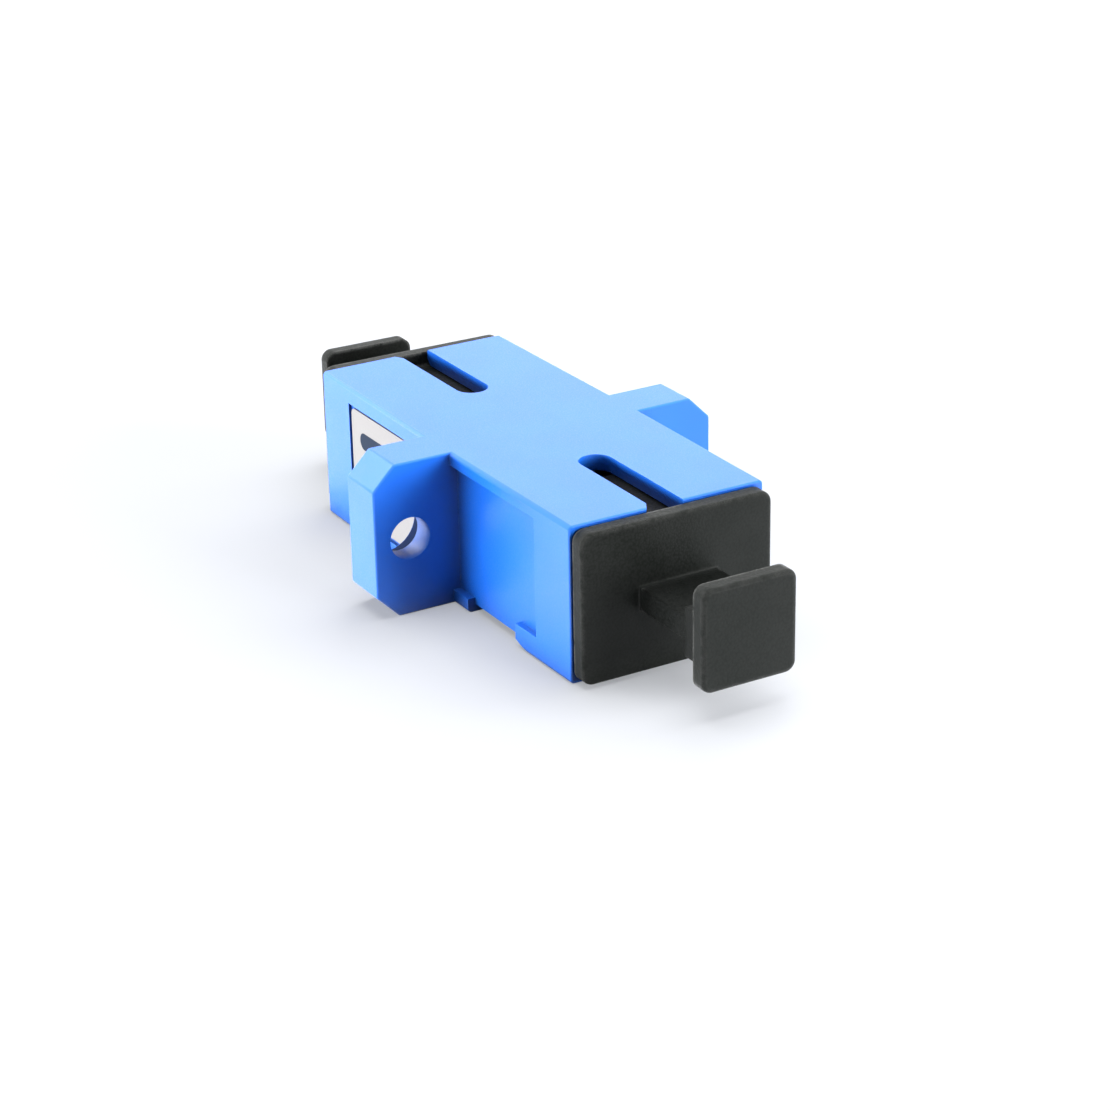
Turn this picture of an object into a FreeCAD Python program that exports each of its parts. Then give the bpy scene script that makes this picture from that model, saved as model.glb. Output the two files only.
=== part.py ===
import FreeCAD, Part
import math
import os
import Sketcher

# Flanged fibre optic adapter for two square push-pull connectors, with both dust caps in.
# Frame: X is the width, along the flange. Y is the optical axis, with the clip end at -Y.
# Z is up. The origin is in the middle of the part, on the surface that it stands on.

os.makedirs("parts", exist_ok=True)
doc = FreeCAD.newDocument("FibreOpticAdapter")

# Driving sizes, in millimetres
SIZES = [
    # Outside of the housing
    ("body_width", 12.7, "width at the flange"),
    ("body_height", 9.3, "height of body and flange"),
    ("body_length", 29.4, "from one port face to the other"),
    ("side_draft", 0.12, "lean of each side wall towards its port face"),
    ("flange_thick", 3.2, "along the optical axis"),
    ("flange_chamfer", 1.4, "cut corners of the ears"),
    ("edge_round", 0.25, "rounding of the long moulded edges"),
    ("rim_round", 0.12, "rounding of the flange's rims and of the port faces"),
    # Screw holes of the flange
    ("screw_pitch", 18.0, "between the two holes"),
    ("ear_margin", 2.25, "from a hole's middle to the end of its ear"),
    ("screw_bore", 2.55, "hole for a small panel screw"),
    ("head_pocket_bore", 3.9, "wider pocket behind each hole"),
    ("head_pocket_depth", 1.65, "depth of that pocket"),
    # Ports
    ("side_wall", 1.85, "wall beside each port, at the flange"),
    ("top_wall", 0.95, "wall over and under each port, at the flange"),
    ("port_lead", 0.35, "chamfer round the mouth"),
    ("web_thick", 1.6, "wall between the two ports"),
    ("web_bore", 5.0, "hole through that wall"),
    ("key_width", 2.0, "slot for the connector's key"),
    ("key_length", 8.5, "slot length from the port face"),
    ("key_flare", 0.35, "the slot's left side opens out at the port face"),
    ("key_flare_length", 0.6, "length of that flare"),
    # Pockets where the latch arms spring outwards
    ("arm_pocket_depth", 0.75, "cut into each side wall"),
    ("arm_clearance", 0.45, "room round an arm in height and length"),
    # Track for a sheet metal panel clip, in front of the flange
    ("clip_depth", 0.5, "track depth in the side walls"),
    ("clip_length", 9.4, "from the flange towards the port"),
    ("clip_land", 0.75, "strip left above the track"),
    ("clip_base_length", 7.1, "track length under the body"),
    ("clip_base_depth", 0.45, "track depth under the body"),
    ("clip_base_ramp", 1.4, "ramp at its far end, down to the underside"),
    ("clip_ledge", 1.4, "height of the ledge at the track's far end"),
    ("nib_length", 1.7, "stop beside the flange, along the body"),
    ("nib_height", 0.85, "stop beside the flange, in height"),
    # Label and its recess, on one side behind the flange
    ("label_recess", 0.27, "recess depth from the widest point"),
    ("label_length", 8.5, "recess length"),
    ("label_edge", 1.0, "from the top and bottom of the body to the recess"),
    ("label_inset", 3.45, "from the rear port face to the recess"),
    ("label_margin", 0.2, "label edge to recess edge"),
    ("label_thick", 0.12, "paper and adhesive"),
    ("label_round", 0.4, "label corner radius"),
    # Latch half: base plate, sleeve tube and two arms in one moulding
    ("plate_gap", 0.05, "base plate to port wall"),
    ("plate_thick", 1.2, "base plate"),
    ("tube_bore_gap", 0.05, "tube to sleeve, radial"),
    ("tube_wall", 0.65, "wall of the sleeve tube"),
    ("tube_lip", 0.5, "lip that keeps the sleeve in"),
    ("lip_bore", 2.9, "way in for the ferrule"),
    ("lip_chamfer", 0.2, "lead-in of the lip and the tube's outer edge"),
    ("spigot_gap", 0.05, "spigot to web hole, radial"),
    ("half_gap", 0.02, "between the two halves' spigots"),
    ("arm_span", 7.0, "between the arms' inner faces"),
    ("arm_thick", 0.8, "arm thickness"),
    ("arm_height", 3.0, "arm width, in height"),
    ("arm_length", 9.5, "arm tip from the middle of the part"),
    ("barb_reach", 0.55, "barb past the arm's inner face"),
    ("barb_length", 1.3, "barb and its ramp"),
    ("pin_bore", 1.0, "joining pins of the halves"),
    ("pin_gap", 0.03, "pin to hole, radial"),
    ("pin_inset", 1.2, "from a port side wall to a pin's middle"),
    ("pin_drop", 1.0, "from the port's top or bottom to a pin's middle"),
    ("pin_end_gap", 0.1, "a pin's end to the far face of the other base plate"),
    # Split alignment sleeve
    ("sleeve_bore", 2.5, "for the connector's ferrule"),
    ("sleeve_wall", 0.35, "wall of the sleeve"),
    ("sleeve_length", 11.4, "length of the sleeve"),
    ("sleeve_slit", 0.45, "slit along the sleeve"),
    ("sleeve_chamfer", 0.08, "end chamfers"),
    ("sleeve_end_gap", 0.1, "free play at each end"),
    # Dust cap: plate, plug, stem and handle in one moulding
    ("cap_side_edge", 0.25, "body side to the side of the cover plate"),
    ("cap_top_edge", 0.2, "body top to the top of the cover plate"),
    ("cap_thick", 1.0, "cover plate"),
    ("cap_seat_gap", 0.1, "cover plate to port face"),
    ("cap_corner", 0.7, "corner radius of the cover plate"),
    ("cap_edge", 0.22, "rounding of the plate and handle edges"),
    ("plug_gap", 0.1, "plug to the top and bottom of the port"),
    ("plug_side_gap", 0.55, "plug to the sides of the port"),
    ("plug_wall", 0.7, "wall of the hollow plug"),
    ("plug_length", 7.8, "plug inside the port"),
    ("plug_chamfer", 0.3, "lead-in at the plug's tip"),
    ("rib_height", 0.07, "grip ribs on the plug"),
    ("rib_width", 0.6, "grip ribs on the plug"),
    ("rib_spread", 5.4, "between the two ribs of one face"),
    ("stem_width", 5.0, "flat stem"),
    ("stem_height", 1.35, "flat stem"),
    ("collar_height", 2.9, "thick root behind the handle"),
    ("collar_thick", 1.1, "thick root behind the handle"),
    ("handle_width", 5.95, "handle plate"),
    ("handle_height", 6.0, "handle plate"),
    ("handle_lift", 0.1, "handle plate's middle above the optical axis"),
    ("handle_thick", 1.0, "handle plate"),
    ("handle_reach", 8.1, "handle's outer face from the port face"),
    ("handle_corner", 0.65, "corner radius of the handle"),
    ("rear_cap_shift", 0.4, "the rear cap sits this far to the right in its port"),
    ("rear_cap_out", 0.08, "and this far out from its seat"),
    ("rear_cap_lean", 0.12, "and its plug's tip lies this far back to the left"),
]
sheet = doc.addObject("Spreadsheet::Sheet", "Sizes")
for row, (alias, value, note) in enumerate(SIZES, start=1):
    sheet.set("A%d" % row, note)
    sheet.set("B%d" % row, str(value))
    sheet.setAlias("B%d" % row, alias)
doc.recompute()

# Places that several pieces share, written with the sheet's names
AXIS = "Sizes.body_height / 2"
PORT_W = "(Sizes.body_width - 2 * Sizes.side_wall)"
PORT_H = "(Sizes.body_height - 2 * Sizes.top_wall)"
FLANGE_X = "(Sizes.screw_pitch / 2 + Sizes.ear_margin)"
PIN_X = "(%s / 2 - Sizes.pin_inset)" % PORT_W
PIN_Z = "(%s / 2 - Sizes.pin_drop)" % PORT_H
PORT_FACE = "Sizes.body_length / 2"
FLANGE_FACE = "Sizes.flange_thick / 2"
WEB_FACE = "Sizes.web_thick / 2"
SLEEVE_R = "(Sizes.sleeve_bore / 2 + Sizes.sleeve_wall)"
TUBE_BORE_R = "(%s + Sizes.tube_bore_gap)" % SLEEVE_R
TUBE_R = "(%s + Sizes.tube_wall)" % TUBE_BORE_R
TUBE_TIP = "(Sizes.sleeve_length / 2 + Sizes.sleeve_end_gap + Sizes.tube_lip)"
SPIGOT_R = "(Sizes.web_bore / 2 - Sizes.spigot_gap)"
CAP_BACK = "(Sizes.body_length / 2 + Sizes.cap_seat_gap)"
HANDLE_FACE = "(Sizes.body_length / 2 + Sizes.handle_reach)"
ARM_ROOM = "(Sizes.arm_height / 2 + Sizes.arm_clearance)"

cuts = []


def num(expression):
    """Value of an expression, in millimetres."""
    value = sheet.evalExpression(expression)
    return float(getattr(value, "Value", value))


def plane(body, role):
    return [f for f in body.Origin.OriginFeatures if f.Role == role][0]


def new_body(label):
    body = doc.addObject("PartDesign::Body", label)
    body.Label = label
    return body


def new_sketch(body, name, role, offset=None):
    """Sketch on an origin plane of its own body, moved along the plane's normal."""
    sketch = body.newObject("Sketcher::SketchObject", name)
    sketch.AttachmentSupport = [(plane(body, role), "")]
    sketch.MapMode = "FlatFace"
    if offset:
        sketch.setExpression("AttachmentOffset.Base.z", offset)
    return sketch


def tie(sketch, kind, geometry, point, expression):
    """One coordinate of a point, tied to an expression."""
    index = sketch.addConstraint(Sketcher.Constraint(kind, -1, 1, geometry, point, num(expression)))
    sketch.setExpression("Constraints[%d]" % index, expression)


def outline(sketch, points):
    """Closed line through points, each a pair of expressions."""
    spots = [FreeCAD.Vector(num(u), num(v), 0) for u, v in points]
    lines = [sketch.addGeometry(Part.LineSegment(a, b), False)
             for a, b in zip(spots, spots[1:] + spots[:1])]
    for this, following in zip(lines, lines[1:] + lines[:1]):
        sketch.addConstraint(Sketcher.Constraint("Coincident", this, 2, following, 1))
    for line, (u, v) in zip(lines, points):
        tie(sketch, "DistanceX", line, 1, u)
        tie(sketch, "DistanceY", line, 1, v)


def box_outline(sketch, left, right, low, high):
    outline(sketch, [(left, low), (right, low), (right, high), (left, high)])


def centred_box(sketch, width, height):
    """Rectangle round the optical axis, on a plane across it."""
    box_outline(sketch, "-(%s) / 2" % width, "(%s) / 2" % width,
                "%s - (%s) / 2" % (AXIS, height), "%s + (%s) / 2" % (AXIS, height))


def circle(sketch, u, v, radius):
    spot = FreeCAD.Vector(num(u), num(v), 0)
    ring = sketch.addGeometry(Part.Circle(spot, FreeCAD.Vector(0, 0, 1), num(radius)), False)
    tie(sketch, "DistanceX", ring, 3, u)
    tie(sketch, "DistanceY", ring, 3, v)
    index = sketch.addConstraint(Sketcher.Constraint("Radius", ring, num(radius)))
    sketch.setExpression("Constraints[%d]" % index, radius)


def extrude(body, kind, name, sketch, length, both_ways=False, turned=False):
    feature = body.newObject("PartDesign::" + kind, name)
    feature.Profile = sketch
    feature.setExpression("Length", length)
    feature.SideType = "Symmetric" if both_ways else "One side"
    feature.Reversed = turned
    doc.recompute()
    if kind == "Pocket":
        cuts.append(feature)
    return feature


def pad(body, name, sketch, length, **how):
    return extrude(body, "Pad", name, sketch, length, **how)


def pocket(body, name, sketch, length, **how):
    return extrude(body, "Pocket", name, sketch, length, **how)


def mirror(body, name, features, role):
    feature = body.newObject("PartDesign::Mirrored", name)
    feature.Originals = features
    feature.MirrorPlane = (plane(body, role), [""])
    body.Tip = feature
    doc.recompute()
    return feature


def edges_where(feature, test):
    """Names of the edges whose two end points both pass the test."""
    names = []
    for number, edge in enumerate(feature.Shape.Edges, start=1):
        if len(edge.Vertexes) == 2 and test(edge, edge.Vertexes[0].Point, edge.Vertexes[1].Point):
            names.append("Edge%d" % number)
    return names


def dress(body, kind, name, base, edges, size):
    feature = body.newObject("PartDesign::" + kind, name)
    feature.Base = (base, edges)
    feature.setExpression("Radius" if kind == "Fillet" else "Size", size)
    doc.recompute()
    return feature


def near(a, b):
    return abs(a - b) < 1e-4


# Housing: one moulding with two ports, a flange and a web in the middle
housing = new_body("housing")

# The two halves lean in from the flange to the port faces
plan = new_sketch(housing, "body_plan", "XY_Plane")
half_w, half_l, half_f = "Sizes.body_width / 2", PORT_FACE, FLANGE_FACE
end_w = "Sizes.body_width / 2 - Sizes.side_draft"
outline(plan, [("-(%s)" % half_w, "-(%s)" % half_f), ("-(%s)" % end_w, "-(%s)" % half_l),
               (end_w, "-(%s)" % half_l), (half_w, "-(%s)" % half_f),
               (half_w, half_f), (end_w, half_l),
               ("-(%s)" % end_w, half_l), ("-(%s)" % half_w, half_f)])
body_pad = pad(housing, "body", plan, "Sizes.body_height")

# Flange ears with cut corners
ears = new_sketch(housing, "flange_outline", "XZ_Plane")
ear_x, ear_cut = FLANGE_X, "%s - Sizes.flange_chamfer" % FLANGE_X
ear_top = "Sizes.body_height - Sizes.flange_chamfer"
outline(ears, [("-(%s)" % ear_x, "Sizes.flange_chamfer"), ("-(%s)" % ear_cut, "0"),
               (ear_cut, "0"), (ear_x, "Sizes.flange_chamfer"), (ear_x, ear_top),
               (ear_cut, "Sizes.body_height"), ("-(%s)" % ear_cut, "Sizes.body_height"),
               ("-(%s)" % ear_x, ear_top)])
flange = pad(housing, "flange", ears, "Sizes.flange_thick", both_ways=True)
flange_mm = num("Sizes.flange_thick")
outer_edges = edges_where(flange, lambda e, a, b: abs(a.y - b.y) > flange_mm * 2
                          or near(abs(a.y - b.y), flange_mm))
rounding = dress(housing, "Fillet", "edge_rounding", flange, outer_edges, "Sizes.edge_round")
rims = edges_where(rounding, lambda e, a, b: near(a.y, b.y)
                   and (near(abs(a.y), num(PORT_FACE)) or near(abs(a.y), num(FLANGE_FACE))
                        and max(abs(a.x), abs(b.x)) > num(half_w) + 0.5))
rim_rounding = dress(housing, "Fillet", "rim_rounding", rounding, rims, "Sizes.rim_round")

# Port, key slot and arm pockets of the front half, then mirrored to the rear
mouth = new_sketch(housing, "port_outline", "XZ_Plane", PORT_FACE)
centred_box(mouth, PORT_W, PORT_H)
port = pocket(housing, "port", mouth, "(Sizes.body_length - Sizes.web_thick) / 2")

slot_end = "-(%s) + Sizes.key_length - Sizes.key_width / 2" % PORT_FACE
slot = new_sketch(housing, "key_slot_outline", "XY_Plane", "Sizes.body_height")
slot_flare = "-(%s) + Sizes.key_flare_length" % PORT_FACE
outline(slot, [("-(Sizes.key_width / 2 + Sizes.key_flare)", "-(%s)" % PORT_FACE),
               ("Sizes.key_width / 2", "-(%s)" % PORT_FACE), ("Sizes.key_width / 2", slot_end),
               ("-Sizes.key_width / 2", slot_end), ("-Sizes.key_width / 2", slot_flare)])
key_slot = pocket(housing, "key_slot", slot, "Sizes.body_height / 2")
slot_tip = new_sketch(housing, "key_slot_end_outline", "XY_Plane", "Sizes.body_height")
circle(slot_tip, "0", slot_end, "Sizes.key_width / 2")
key_slot_end = pocket(housing, "key_slot_end", slot_tip, "Sizes.body_height / 2")

arm_side = new_sketch(housing, "arm_pocket_outline", "YZ_Plane")
box_outline(arm_side, "-(Sizes.arm_length + Sizes.arm_clearance)", "-(%s)" % WEB_FACE,
            "%s - %s" % (AXIS, ARM_ROOM), "%s + %s" % (AXIS, ARM_ROOM))
arm_pockets = pocket(housing, "arm_pockets", arm_side,
                     "%s + 2 * Sizes.arm_pocket_depth" % PORT_W, both_ways=True)
rear_half = mirror(housing, "rear_half", [port, key_slot, key_slot_end, arm_pockets], "XZ_Plane")

# Web: hole for the spigots and four holes for the joining pins
web_sketch = new_sketch(housing, "web_holes_outline", "XZ_Plane")
circle(web_sketch, "0", AXIS, "Sizes.web_bore / 2")
for x in ("-", ""):
    for z in ("-", "+"):
        circle(web_sketch, "%s%s" % (x, PIN_X), "%s %s %s" % (AXIS, z, PIN_Z),
               "Sizes.pin_bore / 2 + Sizes.pin_gap")
web_holes = pocket(housing, "web_holes", web_sketch, "Sizes.web_thick * 2", both_ways=True)

# Screw hole, head pocket and clip track of the left side, then mirrored to the right
screw_x = "-Sizes.screw_pitch / 2"
screw = new_sketch(housing, "screw_hole_outline", "XZ_Plane", FLANGE_FACE)
circle(screw, screw_x, AXIS, "Sizes.screw_bore / 2")
screw_hole = pocket(housing, "screw_hole", screw, "Sizes.flange_thick")
head = new_sketch(housing, "head_pocket_outline", "XZ_Plane", "-(%s)" % FLANGE_FACE)
circle(head, screw_x, AXIS, "Sizes.head_pocket_bore / 2")
head_pocket = pocket(housing, "head_pocket", head, "Sizes.head_pocket_depth", turned=True)

track_far = "-(%s + Sizes.clip_length)" % FLANGE_FACE
track_base = "-(%s + Sizes.clip_base_length)" % FLANGE_FACE
track_nib = "-(%s + Sizes.nib_length)" % FLANGE_FACE
track_top = "Sizes.body_height - Sizes.clip_land"
track = new_sketch(housing, "clip_track_outline", "YZ_Plane", "-(%s)" % half_w)
outline(track, [("-(%s)" % FLANGE_FACE, "Sizes.nib_height"), ("-(%s)" % FLANGE_FACE, track_top),
                (track_far, track_top), (track_far, "Sizes.clip_ledge"),
                (track_base, "Sizes.clip_ledge"), (track_base, "-Sizes.clip_base_depth"),
                (track_nib, "-Sizes.clip_base_depth"), (track_nib, "Sizes.nib_height")])
clip_track = pocket(housing, "clip_track", track, "Sizes.clip_depth", turned=True)
right_side = mirror(housing, "right_side", [screw_hole, head_pocket, clip_track], "YZ_Plane")

# The track goes on under the body and ends in a ramp
base_track = new_sketch(housing, "clip_base_outline", "YZ_Plane")
outline(base_track, [("%s - Sizes.clip_base_ramp" % track_base, "0"), (track_nib, "0"),
                     (track_nib, "Sizes.clip_base_depth"), (track_base, "Sizes.clip_base_depth")])
clip_base = pocket(housing, "clip_base", base_track, "Sizes.body_width", both_ways=True)

# Recess for the label, behind the flange on the left side
label_end = "%s - Sizes.label_inset" % PORT_FACE
recess = new_sketch(housing, "label_recess_outline", "YZ_Plane", "-(%s)" % half_w)
box_outline(recess, "%s - Sizes.label_length" % label_end, label_end,
            "Sizes.label_edge", "Sizes.body_height - Sizes.label_edge")
label_pocket = pocket(housing, "label_pocket", recess, "Sizes.label_recess", turned=True)

# Lead-in round both mouths, running out through the key slots
rim = edges_where(label_pocket, lambda e, a, b: near(abs(a.y), num(PORT_FACE)) and near(a.y, b.y)
                  and max(abs(a.x), abs(b.x)) < num("%s / 2" % PORT_W) + 1e-3
                  and min(a.z, b.z) > num("Sizes.top_wall") - 1e-3
                  and max(a.z, b.z) < num("Sizes.body_height - Sizes.top_wall") + 1e-3)
lead_in = dress(housing, "Chamfer", "port_lead_in", label_pocket, rim, "Sizes.port_lead")


# Latch half: base plate on the web, sleeve tube and two spring arms
def latch_half(label):
    body = new_body(label)
    base = new_sketch(body, label + "_base_outline", "XZ_Plane", WEB_FACE)
    centred_box(base, "%s - 2 * Sizes.plate_gap" % PORT_W, "%s - 2 * Sizes.plate_gap" % PORT_H)
    circle(base, "0", AXIS, TUBE_BORE_R)
    pad(body, label + "_base", base, "Sizes.plate_thick")

    # Spigot and tube are one turned profile, drawn above the optical axis
    profile = new_sketch(body, label + "_tube_profile", "YZ_Plane")
    lip_face = "%s - Sizes.tube_lip" % TUBE_TIP
    turned_profile = [
        ("Sizes.half_gap", TUBE_BORE_R), ("Sizes.half_gap", SPIGOT_R),
        (WEB_FACE, SPIGOT_R), (WEB_FACE, TUBE_R),
        ("%s - Sizes.lip_chamfer" % TUBE_TIP, TUBE_R),
        (TUBE_TIP, "%s - Sizes.lip_chamfer" % TUBE_R),
        (TUBE_TIP, "Sizes.lip_bore / 2 + Sizes.lip_chamfer"),
        ("%s - Sizes.lip_chamfer" % TUBE_TIP, "Sizes.lip_bore / 2"),
        (lip_face, "Sizes.lip_bore / 2"), (lip_face, TUBE_BORE_R)]
    outline(profile, [("-(%s)" % y, "%s + %s" % (AXIS, radius)) for y, radius in turned_profile])
    middle, reach = num(AXIS), num("Sizes.web_thick")
    axis = profile.addGeometry(Part.LineSegment(FreeCAD.Vector(-reach, middle, 0),
                                                FreeCAD.Vector(reach, middle, 0)), True)
    profile.addConstraint(Sketcher.Constraint("Horizontal", axis))
    tie(profile, "DistanceY", axis, 1, AXIS)
    tie(profile, "DistanceX", axis, 1, "-Sizes.web_thick")
    tie(profile, "DistanceX", axis, 2, "Sizes.web_thick")
    tube = body.newObject("PartDesign::Revolution", label + "_tube")
    tube.Profile = profile
    tube.ReferenceAxis = (profile, ["Axis0"])
    tube.Angle = 360
    doc.recompute()

    # Arms with inward barbs, drawn from above and mirrored
    inner, outer = "Sizes.arm_span / 2", "(Sizes.arm_span / 2 + Sizes.arm_thick)"
    root = "-(%s + Sizes.plate_thick / 2)" % WEB_FACE
    tip = "-Sizes.arm_length"
    arm = new_sketch(body, label + "_arm_outline", "XY_Plane", AXIS)
    outline(arm, [(inner, root), (outer, root), (outer, "%s + Sizes.arm_thick / 2" % tip),
                  ("%s - Sizes.arm_thick / 2" % outer, tip), (inner, tip),
                  ("%s - Sizes.barb_reach" % inner, "%s + Sizes.barb_length * 0.7" % tip),
                  ("%s - Sizes.barb_reach" % inner, "%s + Sizes.barb_length * 0.8" % tip),
                  (inner, "%s + Sizes.barb_length" % tip)])
    right_arm = pad(body, label + "_right_arm", arm, "Sizes.arm_height", both_ways=True)
    mirror(body, label + "_left_arm", [right_arm], "YZ_Plane")

    # Two pins go through the web into the other half, which has two holes for them
    pins = new_sketch(body, label + "_pins_outline", "XZ_Plane", WEB_FACE)
    circle(pins, PIN_X, "%s + %s" % (AXIS, PIN_Z), "Sizes.pin_bore / 2")
    circle(pins, "-" + PIN_X, "%s - %s" % (AXIS, PIN_Z), "Sizes.pin_bore / 2")
    pad(body, label + "_pins", pins, "Sizes.web_thick + Sizes.plate_thick - Sizes.pin_end_gap",
        turned=True)
    holes = new_sketch(body, label + "_pin_holes_outline", "XZ_Plane", WEB_FACE)
    hole_r = "Sizes.pin_bore / 2 + Sizes.pin_gap"
    circle(holes, "-" + PIN_X, "%s + %s" % (AXIS, PIN_Z), hole_r)
    circle(holes, PIN_X, "%s - %s" % (AXIS, PIN_Z), hole_r)
    pocket(body, label + "_pin_holes", holes, "Sizes.plate_thick", turned=True)
    return body


# Dust cap: cover plate, hollow plug with windows for the arms, flat stem and handle
def dust_cap(label):
    body = new_body(label)
    cover = new_sketch(body, label + "_plate_outline", "XZ_Plane", CAP_BACK)
    centred_box(cover, "Sizes.body_width - 2 * Sizes.cap_side_edge",
                "Sizes.body_height - 2 * Sizes.cap_top_edge")
    plate = pad(body, label + "_plate", cover, "Sizes.cap_thick")
    corners = edges_where(plate, lambda e, a, b: near(abs(a.y - b.y), num("Sizes.cap_thick")))
    plate = dress(body, "Fillet", label + "_plate_corners", plate, corners, "Sizes.cap_corner")
    plate_y = -num(CAP_BACK + " + Sizes.cap_thick")
    rim_edges = edges_where(plate, lambda e, a, b: near(a.y, plate_y) and near(b.y, plate_y))
    dress(body, "Fillet", label + "_plate_edges", plate, rim_edges, "Sizes.cap_edge")

    # Stem with a thick root, then the handle plate
    stem_start = "(%s + Sizes.cap_thick)" % CAP_BACK
    handle_back = "(%s - Sizes.handle_thick)" % HANDLE_FACE
    bar = new_sketch(body, label + "_stem_outline", "XZ_Plane", stem_start)
    centred_box(bar, "Sizes.stem_width", "Sizes.stem_height")
    pad(body, label + "_stem", bar, "%s - %s" % (handle_back, stem_start))
    root = new_sketch(body, label + "_root_outline", "XZ_Plane",
                      "%s - Sizes.collar_thick" % handle_back)
    centred_box(root, "Sizes.handle_width - 2 * Sizes.cap_edge", "Sizes.collar_height")
    pad(body, label + "_root", root, "Sizes.collar_thick + Sizes.handle_thick / 2")
    grip = new_sketch(body, label + "_handle_outline", "XZ_Plane", handle_back)
    grip_low = "%s + Sizes.handle_lift - Sizes.handle_height / 2" % AXIS
    box_outline(grip, "-Sizes.handle_width / 2", "Sizes.handle_width / 2",
                grip_low, "%s + Sizes.handle_height" % grip_low)
    handle = pad(body, label + "_handle", grip, "Sizes.handle_thick")
    back_y, face_y = -num(handle_back), -num(HANDLE_FACE)
    corners = edges_where(handle, lambda e, a, b: near(min(a.y, b.y), face_y)
                          and near(max(a.y, b.y), back_y))
    handle = dress(body, "Fillet", label + "_handle_corners", handle, corners,
                   "Sizes.handle_corner")
    front_rim = edges_where(handle, lambda e, a, b: near(a.y, face_y) and near(b.y, face_y))
    dress(body, "Fillet", label + "_handle_edges", handle, front_rim, "Sizes.cap_edge")

    # Hollow plug: a rectangular sleeve inside the port
    wall = "2 * Sizes.plug_wall"
    plug_w = "%s - 2 * Sizes.plug_side_gap" % PORT_W
    plug_h = "%s - 2 * Sizes.plug_gap" % PORT_H
    sleeve = new_sketch(body, label + "_plug_outline", "XZ_Plane", CAP_BACK)
    centred_box(sleeve, plug_w, plug_h)
    centred_box(sleeve, "%s - %s" % (plug_w, wall), "%s - %s" % (plug_h, wall))
    plug = pad(body, label + "_plug", sleeve, "Sizes.plug_length + Sizes.cap_seat_gap",
               turned=True)
    tip_y = -num("%s - Sizes.plug_length" % PORT_FACE)
    half_w_mm, half_h_mm = num("(%s) / 2" % plug_w), num("(%s) / 2" % plug_h)
    middle = num(AXIS)
    tip_edges = edges_where(plug, lambda e, a, b: near(a.y, tip_y) and near(b.y, tip_y)
                            and near(abs(a.x), half_w_mm) and near(abs(b.x), half_w_mm)
                            and near(abs(a.z - middle), half_h_mm)
                            and near(abs(b.z - middle), half_h_mm))
    dress(body, "Chamfer", label + "_plug_lead_in", plug, tip_edges, "Sizes.plug_chamfer")

    # Windows for the arms, open at the tip of the plug
    window = new_sketch(body, label + "_window_outline", "YZ_Plane")
    box_outline(window, "-(Sizes.arm_length + Sizes.arm_clearance)",
                "-(%s - Sizes.plug_length - Sizes.plug_wall)" % PORT_FACE,
                "%s - %s" % (AXIS, ARM_ROOM), "%s + %s" % (AXIS, ARM_ROOM))
    pocket(body, label + "_windows", window, PORT_W, both_ways=True)

    # Two thin grip ribs above and two below, clear of the key slot
    rib_top = "%s + (%s) / 2" % (AXIS, plug_h)
    rib_low = "%s - (%s) / 2" % (AXIS, plug_h)
    ribs = new_sketch(body, label + "_ribs_outline", "XZ_Plane", PORT_FACE)
    for side in ("-", ""):
        middle_x = "%sSizes.rib_spread / 2" % side
        left, right = "%s - Sizes.rib_width / 2" % middle_x, "%s + Sizes.rib_width / 2" % middle_x
        box_outline(ribs, left, right, "%s - Sizes.plug_wall / 2" % rib_top,
                    "%s + Sizes.rib_height" % rib_top)
        box_outline(ribs, left, right, "%s - Sizes.rib_height" % rib_low,
                    "%s + Sizes.plug_wall / 2" % rib_low)
    pad(body, label + "_ribs", ribs, "Sizes.plug_length - 2 * Sizes.plug_chamfer", turned=True)
    return body


# The two halves and the two caps are the same mouldings, one of each turned half round
front_latch_half = latch_half("front_latch_half")
rear_latch_half = latch_half("rear_latch_half")
front_dust_cap = dust_cap("front_dust_cap")
rear_dust_cap = dust_cap("rear_dust_cap")
UP = FreeCAD.Vector(0, 0, 1)
rear_latch_half.Placement = FreeCAD.Placement(FreeCAD.Vector(0, 0, 0), FreeCAD.Rotation(UP, 180))

# The rear cap went in upside down, pushed in by hand a little to one side of its port
lean = math.degrees(math.atan2(num("Sizes.rear_cap_lean"), num("Sizes.plug_length")))
turn = FreeCAD.Rotation(UP, -lean) * FreeCAD.Rotation(FreeCAD.Vector(1, 0, 0), 180)
seat = FreeCAD.Vector(num("Sizes.rear_cap_shift"), num(PORT_FACE) + num("Sizes.rear_cap_out"),
                      num(AXIS))
front_seat = FreeCAD.Vector(0, -num(PORT_FACE), num(AXIS))
rear_dust_cap.Placement = FreeCAD.Placement(seat - turn.multVec(front_seat), turn)

# Split sleeve that lines up the two ferrules
alignment_sleeve = new_body("alignment_sleeve")
ring = new_sketch(alignment_sleeve, "sleeve_section", "XZ_Plane")
circle(ring, "0", AXIS, SLEEVE_R)
circle(ring, "0", AXIS, "Sizes.sleeve_bore / 2")
sleeve_pad = pad(alignment_sleeve, "sleeve_pad", ring, "Sizes.sleeve_length", both_ways=True)
sleeve_ends = dress(alignment_sleeve, "Chamfer", "sleeve_ends", sleeve_pad,
                    ["Edge%d" % n for n, e in enumerate(sleeve_pad.Shape.Edges, start=1)
                     if len(e.Vertexes) == 1 and near(e.Curve.Radius, num(SLEEVE_R))],
                    "Sizes.sleeve_chamfer")
slit = new_sketch(alignment_sleeve, "sleeve_slit_outline", "XY_Plane", AXIS)
box_outline(slit, "-Sizes.sleeve_slit / 2", "Sizes.sleeve_slit / 2",
            "-Sizes.sleeve_length", "Sizes.sleeve_length")
pocket(alignment_sleeve, "sleeve_slit_cut", slit, "Sizes.sleeve_bore", turned=True)

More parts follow.
